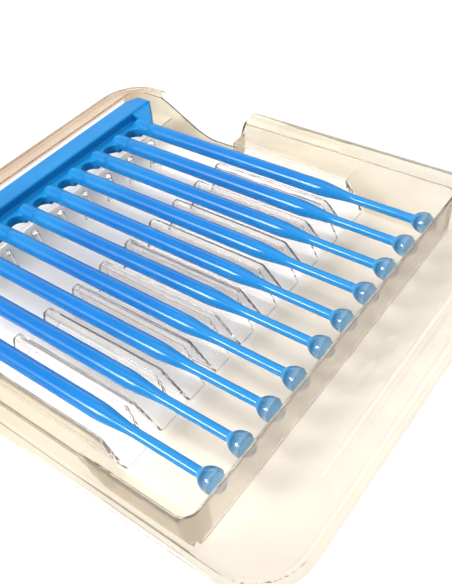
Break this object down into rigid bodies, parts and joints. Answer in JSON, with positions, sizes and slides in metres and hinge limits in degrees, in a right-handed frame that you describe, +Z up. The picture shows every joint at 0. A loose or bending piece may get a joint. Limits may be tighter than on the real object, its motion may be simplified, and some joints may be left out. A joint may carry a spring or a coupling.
{
  "type": "comb of ball-ended dental probes in a clear tray",
  "caption": "Moulded rail carrying a row of snap-off probes with clear ball ends, lying in a clear thermoformed tray with finger notches.",
  "frame": {"origin": "middle of the tray's footprint, on the plane it stands on", "axes": "+X along the probes from the rail to the ball ends, +Y along the rail, +Z up"},
  "size_m": [0.1088, 0.0946, 0.0105],
  "materials": {
    "tray_sheet": "clear thermoformed sheet",
    "comb_plastic": "moulded, slightly translucent blue",
    "probe_plastic": "moulded, slightly translucent blue",
    "ball_clear": "clear glossy"
  },
  "bodies": {
    "tray_body": {"tray": "tray_sheet"},
    "rail_body": {"rail": "comb_plastic"},
    "probe_body_01": {"probe_01": "probe_plastic", "ball_01": "ball_clear"},
    "probe_body_02": {"probe_02": "probe_plastic", "ball_02": "ball_clear"},
    "probe_body_03": {"probe_03": "probe_plastic", "ball_03": "ball_clear"},
    "probe_body_04": {"probe_04": "probe_plastic", "ball_04": "ball_clear"},
    "probe_body_05": {"probe_05": "probe_plastic", "ball_05": "ball_clear"},
    "probe_body_06": {"probe_06": "probe_plastic", "ball_06": "ball_clear"},
    "probe_body_07": {"probe_07": "probe_plastic", "ball_07": "ball_clear"},
    "probe_body_08": {"probe_08": "probe_plastic", "ball_08": "ball_clear"},
    "probe_body_09": {"probe_09": "probe_plastic", "ball_09": "ball_clear"},
    "probe_body_10": {"probe_10": "probe_plastic", "ball_10": "ball_clear"}
  },
  "joints": [
    {"name": "comb_lift", "type": "slide", "parent": "tray_body", "child": "rail_body", "axis": [0, 0, 1], "range_m": [0, 0.02]},
    {"name": "probe_01_lift", "type": "slide", "parent": "rail_body", "child": "probe_body_01", "axis": [0, 0, 1], "range_m": [0, 0.015]},
    {"name": "probe_02_lift", "type": "slide", "parent": "rail_body", "child": "probe_body_02", "axis": [0, 0, 1], "range_m": [0, 0.015]},
    {"name": "probe_03_lift", "type": "slide", "parent": "rail_body", "child": "probe_body_03", "axis": [0, 0, 1], "range_m": [0, 0.015]},
    {"name": "probe_04_lift", "type": "slide", "parent": "rail_body", "child": "probe_body_04", "axis": [0, 0, 1], "range_m": [0, 0.015]},
    {"name": "probe_05_lift", "type": "slide", "parent": "rail_body", "child": "probe_body_05", "axis": [0, 0, 1], "range_m": [0, 0.015]},
    {"name": "probe_06_lift", "type": "slide", "parent": "rail_body", "child": "probe_body_06", "axis": [0, 0, 1], "range_m": [0, 0.015]},
    {"name": "probe_07_lift", "type": "slide", "parent": "rail_body", "child": "probe_body_07", "axis": [0, 0, 1], "range_m": [0, 0.015]},
    {"name": "probe_08_lift", "type": "slide", "parent": "rail_body", "child": "probe_body_08", "axis": [0, 0, 1], "range_m": [0, 0.015]},
    {"name": "probe_09_lift", "type": "slide", "parent": "rail_body", "child": "probe_body_09", "axis": [0, 0, 1], "range_m": [0, 0.015]},
    {"name": "probe_10_lift", "type": "slide", "parent": "rail_body", "child": "probe_body_10", "axis": [0, 0, 1], "range_m": [0, 0.015]}
  ]
}
